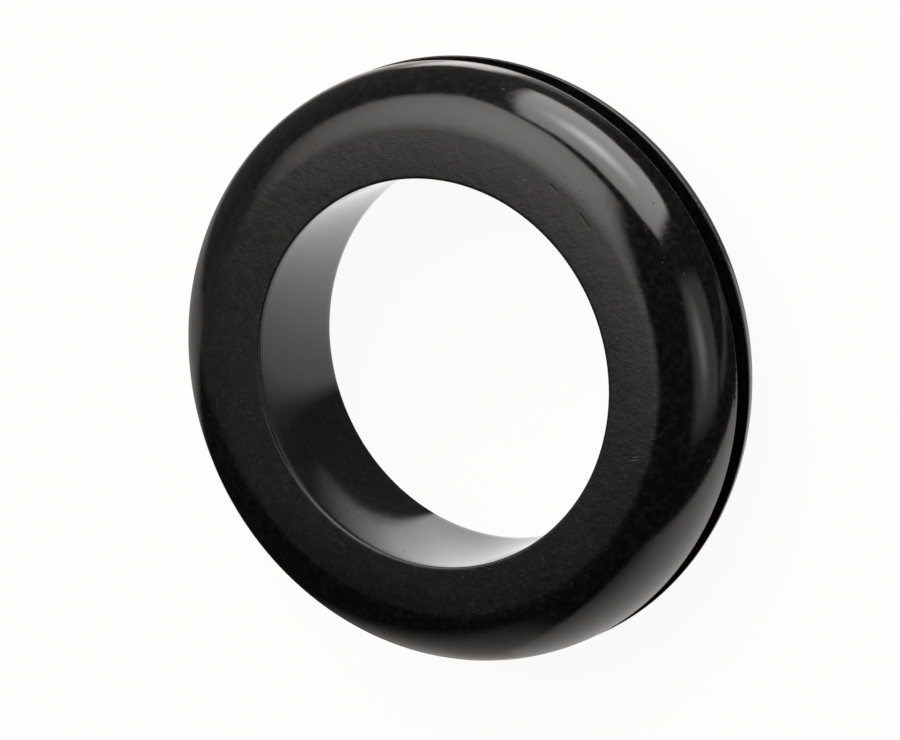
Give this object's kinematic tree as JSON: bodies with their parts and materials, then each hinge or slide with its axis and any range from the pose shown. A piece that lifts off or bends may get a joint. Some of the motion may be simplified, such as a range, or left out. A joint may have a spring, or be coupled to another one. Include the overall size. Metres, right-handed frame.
{
  "type": "rubber grommet",
  "caption": "Round open rubber grommet with a straight bore, two rounded flanges and a groove that grips a panel edge.",
  "frame": {"origin": "centre of the bore in the plane of the back flange's flat face, which the part lies on", "axes": "+Z along the bore, from the back flange to the front flange; the part is round about Z, so X and Y are free"},
  "size_m": [0.0388, 0.0388, 0.0097],
  "materials": {
    "rubber": "black moulded rubber, dull on the flat faces and polished on the rims"
  },
  "bodies": {
    "root": {"grommet": "rubber"}
  },
  "joints": []
}
